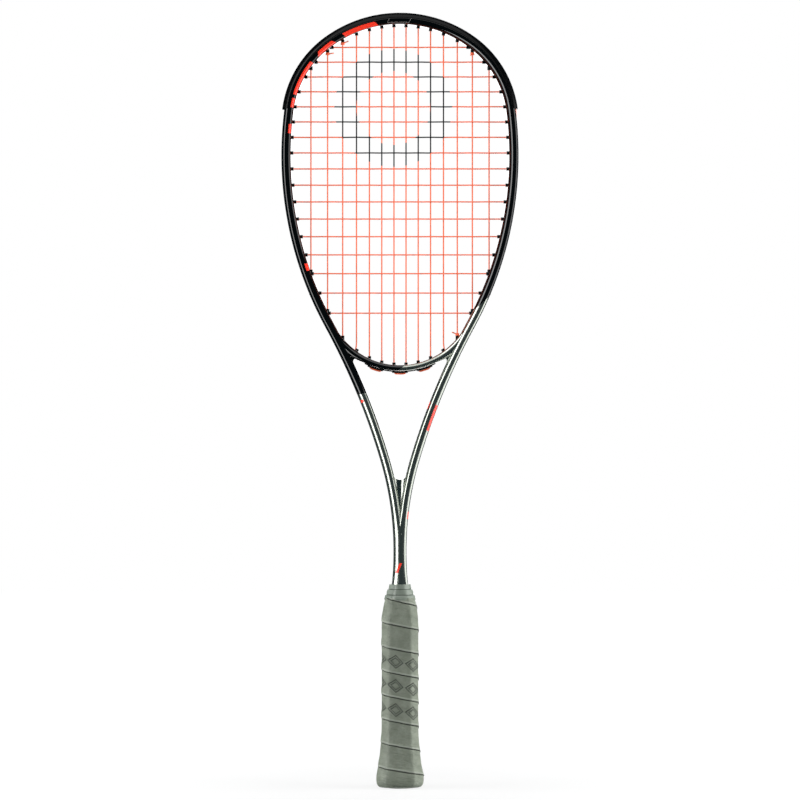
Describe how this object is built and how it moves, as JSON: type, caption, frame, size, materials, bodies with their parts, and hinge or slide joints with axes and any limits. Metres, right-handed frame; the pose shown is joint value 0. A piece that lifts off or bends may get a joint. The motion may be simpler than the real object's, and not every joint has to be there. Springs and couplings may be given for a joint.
{
  "type": "squash racket",
  "caption": "Strung squash racket: open-throat hairpin frame, bonded bridge, bumper, grommet strips, woven strings and a spirally wound grip.",
  "frame": {"origin": "middle of the butt cap's flat end", "axes": "+Z along the handle towards the head's tip, +X across the string bed, +Y out of the back of the string bed"},
  "size_m": [0.21, 0.0366, 0.686],
  "materials": {
    "frame_black": "black gloss lacquer over carbon laminate",
    "frame_silver": "pale green metallic lacquer over carbon laminate",
    "web_dark": "dark gloss resin",
    "bumper_black": "moulded nylon, fine grain",
    "grommet_black": "moulded nylon",
    "string_coral": "coated multifilament nylon",
    "handle_foam": "hard moulded foam",
    "butt_plastic": "moulded plastic, fine grain",
    "staple_steel": "bright wire",
    "grip_sage": "soft tacky synthetic leather with pressed texture",
    "tape_sage": "satin vinyl tape"
  },
  "bodies": {
    "root": {"head_hoop": "frame_black", "leg_right": "frame_silver", "leg_left": "frame_silver", "throat_bridge": "frame_black", "throat_web": "web_dark", "bumper_guard": "bumper_black", "side_grommet_strip_right": "grommet_black", "side_grommet_strip_left": "grommet_black", "throat_grommet_strip": "grommet_black", "corner_grommets": "grommet_black", "main_string": "string_coral", "cross_string": "string_coral", "string_knots": "string_coral", "handle_pallet_front": "handle_foam", "handle_pallet_rear": "handle_foam", "butt_cap": "butt_plastic", "butt_cap_staples": "staple_steel", "grip_wrap": "grip_sage", "finishing_tape": "tape_sage"}
  },
  "joints": []
}
